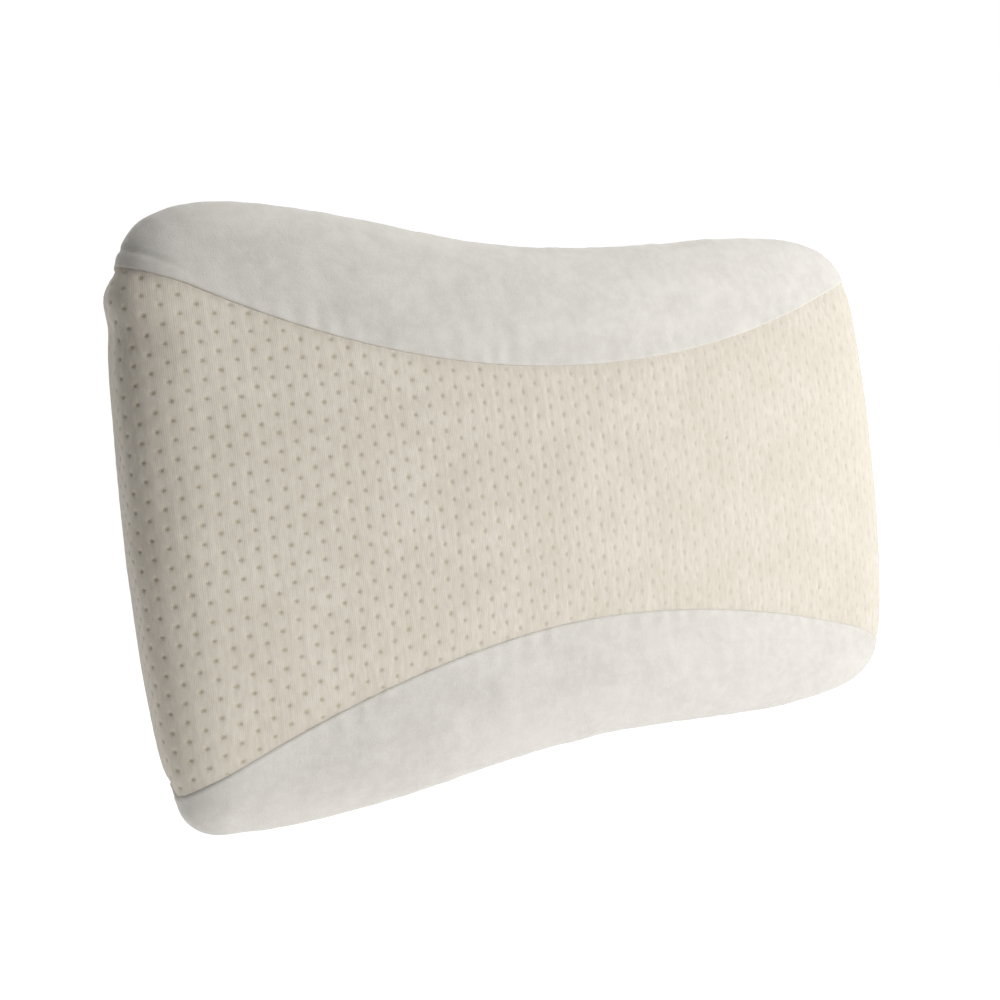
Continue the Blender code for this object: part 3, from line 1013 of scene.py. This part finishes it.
def label(name):
    """Blank woven label, hung from the lower tape with a slight bow."""
    low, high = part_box("care_label")
    across = np.linspace(0.0, 1.0, 41)
    down = np.linspace(0.0, 1.0, 31)
    u, v = np.meshgrid(across, down, indexing="ij")
    middle = 0.5 * (low[1] + high[1])
    y = middle + LABEL_BOW * np.sin(2.0 * np.pi * v) * np.sin(np.pi * u)
    x = low[0] + LABEL_WIDTH * u
    z = high[2] - LABEL_LENGTH * v - CENTRE_Z
    points = xyz(x, y, z).reshape(-1, 3)
    number = np.arange(len(points)).reshape(u.shape)
    obj = make_mesh(name, points, grid_faces(number))
    thicken(obj, LABEL_THICKNESS, 0.0)
    return obj


# ---- materials

class Nodes:
    """Short ways to add nodes to a tree. A value is a number, a colour or another node's output."""

    def __init__(self, tree):
        self.nodes, self.links = tree.nodes, tree.links

    def put(self, value, socket):
        if isinstance(value, bpy.types.NodeSocket):
            self.links.new(value, socket)
        else:
            socket.default_value = value

    def add(self, kind, inputs, output, **settings):
        node = self.nodes.new("ShaderNode" + kind)
        for key, value in settings.items():
            setattr(node, key, value)
        for key, value in inputs.items():
            self.put(value, node.inputs[key])
        return node.outputs[output]

    def coords(self, kind="Object"):
        return self.add("TexCoord", {}, kind)

    def split(self, vector):
        """The three numbers of a vector."""
        return self.add("SeparateXYZ", {"Vector": vector}, "X").node.outputs

    def attribute(self, name):
        return self.add("Attribute", {}, "Fac", attribute_name=name)

    def noise(self, coords, scale, detail=2.0, rough=0.5, stretch=(1.0, 1.0, 1.0)):
        vector = self.add("Mapping", {"Vector": coords, "Scale": stretch}, "Vector")
        return self.add("TexNoise", {"Vector": vector, "Scale": scale, "Detail": detail,
                                     "Roughness": rough}, "Fac")

    def ramp(self, value, low, high, first, last):
        """Ease from first to last as value goes from low to high."""
        return self.add("MapRange", {"Value": value, "From Min": low, "From Max": high,
                                     "To Min": first, "To Max": last}, "Result",
                        data_type="FLOAT", interpolation_type="SMOOTHSTEP")

    def math(self, operation, *values):
        return self.add("Math", dict(enumerate(values)), "Value", operation=operation)

    def ribs(self, along, pitch):
        """Even ribs, from -1 to 1, one for each pitch of a coordinate."""
        return self.math("SINE", self.math("MULTIPLY", along, 2.0 * math.pi / pitch))

    def mix(self, factor, a, b):
        return self.add("Mix", {"Factor": factor, "A": a, "B": b}, "Result", data_type="RGBA")


class Surface(Nodes):
    """A new material with one Principled shader."""

    def __init__(self, name):
        self.material = bpy.data.materials.new(name)
        self.material.use_nodes = True
        super().__init__(self.material.node_tree)
        self.nodes.clear()
        output = self.nodes.new("ShaderNodeOutputMaterial")
        self.shader = self.nodes.new("ShaderNodeBsdfPrincipled")
        self.links.new(self.shader.outputs["BSDF"], output.inputs["Surface"])

    def bump(self, height, distance, strength):
        normal = self.add("Bump", {"Height": height, "Distance": distance, "Strength": strength},
                          "Normal")
        self.put(normal, self.shader.inputs["Normal"])

    def finish(self, inputs):
        """Set the shader's inputs, each to a value, and give the material."""
        for key, value in inputs.items():
            self.put(value, self.shader.inputs[key])
        return self.material


def colour(red, green, blue):
    """A display colour as the linear values that a shader takes."""
    def linear(value):
        value /= 255.0
        return value / 12.92 if value <= 0.04045 else ((value + 0.055) / 1.055) ** 2.4
    return (linear(red), linear(green), linear(blue), 1.0)


def velour_material():
    m = Surface("ivory_velour")
    coords = m.coords()
    # Brushed nap: long soft strokes and a finer mottle
    stroke = m.noise(coords, 48.0, 4.0, 0.6, (0.55, 1.0, 1.0))
    mottle = m.noise(coords, 190.0, 3.0, 0.65)
    pile = m.noise(coords, 1600.0, 2.0, 0.6)
    base = m.mix(m.ramp(stroke, 0.36, 0.66, 0.0, 1.0), colour(199, 195, 189), colour(206, 202, 196))
    speck = m.mix(m.ramp(mottle, 0.35, 0.68, 0.0, 0.4), base, colour(215, 212, 206))
    fibre = m.mix(m.ramp(pile, 0.30, 0.70, 0.16, 0.0), speck, colour(178, 174, 166))
    # Painted shade in the seam grooves, where the crease attribute is high
    seam_shade = m.mix(m.ramp(m.attribute("crease"), 0.0, 1.0, 0.0, 0.9), fibre, colour(146, 132, 114))
    m.bump(m.math("MULTIPLY_ADD", mottle, 1.0, pile), 0.00024, 0.7)
    return m.finish({"Base Color": seam_shade, "Roughness": 0.95, "Specular IOR Level": 0.15,
                     "Sheen Weight": 0.35, "Sheen Roughness": 0.45,
                     "Sheen Tint": (1.0, 0.98, 0.95, 1.0)})


def eyelet_material():
    m = Surface("beige_eyelet_knit")
    uv = m.add("UVMap", {}, "UV", uv_map="fabric")
    coords = m.coords()
    # Wales run up the cloth, courses across it
    across, upward, _ = m.split(uv)
    weave = m.math("MULTIPLY_ADD", m.ribs(upward, COURSE_PITCH), 0.5, m.ribs(across, WALE_PITCH))
    grain = m.noise(coords, 900.0, 2.0, 0.6)
    cloud = m.noise(coords, 30.0, 3.0, 0.55)
    slub = m.noise(uv, 500.0, 2.0, 0.55, (1.0, 0.22, 1.0))
    base = m.mix(m.ramp(cloud, 0.35, 0.68, 0.0, 1.0), colour(207, 200, 188), colour(212, 205, 194))
    streak = m.mix(m.ramp(slub, 0.32, 0.68, 0.36, 0.0), base, colour(184, 174, 158))
    rib = m.mix(m.ramp(weave, -1.2, 1.2, 0.04, 0.0), streak, colour(186, 176, 161))
    hair = m.mix(m.ramp(grain, 0.3, 0.7, 0.10, 0.0), rib, colour(176, 165, 147))
    # Painted shade in the eyelet holes, from the eyelet attribute
    hole = m.mix(m.ramp(m.attribute("eyelet"), 0.0, 1.0, 0.0, 0.52), hair, colour(160, 148, 120))
    m.bump(m.math("MULTIPLY_ADD", grain, 1.6, weave), 0.00003, 0.7)
    return m.finish({"Base Color": hole, "Roughness": 0.88, "Specular IOR Level": 0.2,
                     "Sheen Weight": 0.12, "Sheen Roughness": 0.5})


def woven_material(name, light, dark, pitch, rough=0.85):
    """Narrow woven goods and linings: fine ribs both ways with slight colour drift."""
    m = Surface(name)
    coords = m.coords()
    across, _, upward = m.split(coords)
    weave = m.math("MULTIPLY", m.ribs(across, pitch), m.ribs(upward, pitch))
    grain = m.noise(coords, 260.0, 3.0, 0.6)
    fine = m.mix(m.ramp(weave, -1.0, 1.0, 0.0, 1.0), dark, light)
    drift = m.mix(m.ramp(grain, 0.3, 0.7, 0.3, 0.0), fine, dark)
    m.bump(weave, 0.25 * pitch, 0.7)
    return m.finish({"Base Color": drift, "Roughness": rough, "Sheen Weight": 0.1})


def coil_material():
    m = Surface("nylon_coil")
    drift = m.noise(m.coords(), 500.0, 2.0, 0.5)
    shade = m.mix(m.ramp(drift, 0.3, 0.7, 0.0, 1.0), colour(206, 200, 188), colour(222, 217, 207))
    m.bump(drift, 0.00002, 0.5)
    return m.finish({"Base Color": shade, "Roughness": 0.42, "Subsurface Weight": 0.1,
                     "Subsurface Scale": 0.0005})


def metal_material():
    m = Surface("brushed_zip_metal")
    coords = m.coords()
    brushed = m.noise(coords, 900.0, 3.0, 0.6, (0.06, 1.0, 1.0))
    patch = m.noise(coords, 180.0, 2.0, 0.5)
    shade = m.mix(m.ramp(patch, 0.35, 0.7, 0.0, 1.0), colour(176, 174, 170), colour(205, 203, 199))
    m.bump(brushed, 0.00001, 0.6)
    return m.finish({"Base Color": shade, "Metallic": 1.0,
                     "Roughness": m.ramp(brushed, 0.3, 0.7, 0.26, 0.42)})


def foam_material():
    m = Surface("open_cell_foam")
    coords = m.coords()
    cells = m.add("TexVoronoi", {"Vector": coords, "Scale": 650.0}, "Distance")
    drift = m.noise(coords, 25.0, 3.0, 0.5)
    shade = m.mix(m.ramp(drift, 0.35, 0.7, 0.0, 1.0), colour(226, 219, 198), colour(236, 231, 214))
    # Painted shade in the pores, which the bump makes hollow
    pores = m.mix(m.ramp(cells, 0.0, 0.45, 0.7, 0.0), shade, colour(180, 170, 145))
    m.bump(cells, 0.0005, 0.8)
    return m.finish({"Base Color": pores, "Roughness": 0.95})


# How strongly the paper glows behind the cushion, and in front of it at either side
STAGE_GLOW = 0.93
LEFT_GLOW = 0.05
RIGHT_GLOW = 0.55
# The glow changes from left to right over these x, and from front to back over these distances
# along the direction that DIM_TURN turns from +Y towards +X
SIDE_DIM = (-0.40, 0.42)
FRONT_DIM = (-0.60, -0.30)
DIM_TURN = 0.449
# Strength of the sky at either side
LEFT_SKY = 0.07
RIGHT_SKY = 0.16


def stage_material():
    """Pale glowing paper, dimmer in front of the cushion and most of all to the left."""
    m = Surface("studio_paper")
    coords = m.coords()
    grain = m.noise(coords, 3.0, 2.0, 0.5)
    near = m.ramp(m.split(coords)["X"], *SIDE_DIM, LEFT_GLOW, RIGHT_GLOW)
    ahead = m.add("VectorMath", {0: coords, 1: (math.sin(DIM_TURN), math.cos(DIM_TURN), 0.0)},
                  "Value", operation="DOT_PRODUCT")
    back = m.ramp(ahead, *FRONT_DIM, 0.0, 1.0)
    glow = m.math("MULTIPLY_ADD", m.math("SUBTRACT", STAGE_GLOW, near), back, near)
    return m.finish({"Base Color": m.mix(grain, colour(134, 134, 134), colour(138, 138, 138)),
                     "Roughness": 1.0, "Specular IOR Level": 0.0,
                     "Emission Color": (1.0, 1.0, 1.0, 1.0), "Emission Strength": glow})


# ---- stage, lights and camera

SWEEP_FRONT, SWEEP_START, SWEEP_RADIUS = -5.0, 3.4, 1.6
SWEEP_HEIGHT, SWEEP_HALF_WIDTH = 9.0, 16.0
# The swelling cover reaches this far below the CAD's base
FLOOR_DROP = 0.0012


def add_stage():
    """Pale floor that sweeps up into a plain backdrop a long way behind."""
    profile = [(SWEEP_FRONT, 0.0)]
    for t in np.linspace(0.0, 0.5 * np.pi, 24):
        profile.append((SWEEP_START + SWEEP_RADIUS * math.sin(t), SWEEP_RADIUS * (1.0 - math.cos(t))))
    profile.append((SWEEP_START + SWEEP_RADIUS, SWEEP_HEIGHT))
    points = np.array([(x, y, z - CENTRE_Z - FLOOR_DROP) for y, z in profile
                       for x in (-SWEEP_HALF_WIDTH, SWEEP_HALF_WIDTH)])
    number = np.arange(len(points)).reshape(len(profile), 2)
    obj = make_mesh("studio_sweep", points, grid_faces(number))
    obj.data.materials.append(stage_material())


def add_area(name, place, target, size, energy, tint=(1.0, 1.0, 1.0)):
    """Round soft light at place, aimed at target."""
    light = bpy.data.lights.new(name, "AREA")
    light.shape = "DISK"
    light.size = size
    light.energy = energy
    light.color = tint
    obj = bpy.data.objects.new(name, light)
    obj.location = place
    direction = Vector(target) - Vector(place)
    obj.rotation_euler = direction.to_track_quat("-Z", "Y").to_euler()
    bpy.context.scene.collection.objects.link(obj)


def add_lights():
    world = bpy.data.worlds.new("studio")
    bpy.context.scene.world = world
    world.use_nodes = True
    tree = Nodes(world.node_tree)
    back = tree.nodes["Background"].inputs
    back["Color"].default_value = (1.0, 0.98, 0.955, 1.0)
    # The studio is brighter towards the right
    sideways = tree.split(tree.coords("Generated"))["X"]
    tree.put(tree.ramp(sideways, -0.7, 0.9, LEFT_SKY, RIGHT_SKY), back["Strength"])
    add_area("key", (0.55, -0.78, 0.25), (0.05, 0.0, 0.14), 0.40, 6.95, (0.985, 1.0, 1.0))
    add_area("overhead", (0.2, -0.1, 1.6), (0.0, 0.0, 0.14), 1.2, 14.5)


CAMERA_PLACE = (-0.26078, -0.52171, -0.0014)
CAMERA_YAW, CAMERA_PITCH, CAMERA_ROLL = -0.4494, -0.00274, -0.10449
CAMERA_LENS = 34.2
SENSOR = 36.0


def add_camera():
    forward = Vector((-math.sin(CAMERA_YAW) * math.cos(CAMERA_PITCH),
                      math.cos(CAMERA_YAW) * math.cos(CAMERA_PITCH), math.sin(CAMERA_PITCH)))
    right = Vector((math.cos(CAMERA_YAW), math.sin(CAMERA_YAW), 0.0))
    up = right.cross(forward)
    cos_roll, sin_roll = math.cos(CAMERA_ROLL), math.sin(CAMERA_ROLL)
    across = right * cos_roll + up * sin_roll
    above = up * cos_roll - right * sin_roll
    place = Vector((CAMERA_PLACE[0], CAMERA_PLACE[1] + BACK_Y, CAMERA_PLACE[2] + CENTRE_Z))
    matrix = Matrix((across, above, -forward)).transposed().to_4x4()
    camera = bpy.data.cameras.new("camera")
    camera.lens = CAMERA_LENS
    camera.sensor_width = SENSOR
    camera.clip_start = 0.01
    obj = bpy.data.objects.new("camera", camera)
    obj.matrix_world = Matrix.Translation(place) @ matrix
    bpy.context.scene.collection.objects.link(obj)
    bpy.context.scene.camera = obj


# ---- build

FOAM_INSET = 0.0095
LINER_INSET = 0.0062
WORN_EDGE = 0.00018


def dress(obj, material, node_names, body="cushion"):
    """Give a piece its material, hide the CAD parts it stands for, and attach it to the body it moves
    with.
    """
    obj.data.materials.append(material)
    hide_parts(*node_names)
    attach(obj, body)
    return obj


def recolour(name, material):
    """Give a CAD piece that stays a material from here."""
    node = frame["nodes"][name]
    node.data.materials.clear()
    node.data.materials.append(material)
    return node


def slot_edge(x):
    """Half height of the zip opening at x."""
    return 0.0001 + SLOT_HALF_WIDTH * smooth((SLOT_HALF_LENGTH - np.abs(x)) / SLOT_END)


def build():
    zip_height = ZIP_Z - CENTRE_Z
    velour = velour_material()
    panels = (
        ("upper_velour", "upper_velour_panel", partial(front_seam, up=True), True, False),
        ("lower_velour", "lower_velour_panel", partial(front_seam, up=False), False, False),
        ("back_upper", "back_panel_upper", lambda x: zip_height + slot_edge(x), True, True),
        ("back_lower", "back_panel_lower", lambda x: zip_height - slot_edge(x), False, True),
    )
    for name, node, line, up, on_back in panels:
        obj = dress(velour_panel(name, line, up, on_back), velour, (node,))
    front = dress(eyelet_panel("eyelet_front"), eyelet_material(), ("front_mesh_panel",))

    foam = dress(inner_shell("foam", FOAM_INSET, 0, None), foam_material(), ("foam_core",))
    lining = woven_material("liner_knit", colour(240, 238, 233), colour(222, 219, 212), 0.0012)
    for side, first, last in (("front", 0, LINER_SEAM + 1), ("back", LINER_SEAM, None)):
        half = inner_shell(f"liner_{side}_half", LINER_INSET, first, last)
        dress(half, lining, ("liner_" + side,))

    tape = woven_material("zip_tape_twill", colour(226, 221, 211), colour(205, 199, 187), 0.0006)
    nylon = coil_material()
    for side, sign in (("upper", 1.0), ("lower", -1.0)):
        recolour("zip_tape_" + side, tape)
        node = "zip_coil_" + side
        dress(coil("coil_" + side, node, sign), nylon, (node,))
    metal = metal_material()
    for name in ("zip_top_stop_upper", "zip_top_stop_lower", "zip_bottom_stop", "zip_slider",
                 "zip_pull_tab"):
        edge = recolour(name, metal).modifiers.new("worn_edges", "BEVEL")
        edge.width = WORN_EDGE
        edge.segments = 2
        edge.limit_method = "ANGLE"
    satin = woven_material("label_satin", colour(244, 243, 240), colour(228, 226, 221), 0.0005, 0.55)
    tag = dress(label("blank_label"), satin, ("care_label",))


COVER = blown_cover()
build()
add_stage()
add_lights()
add_camera()
bpy.context.scene.view_settings.view_transform = "Standard"
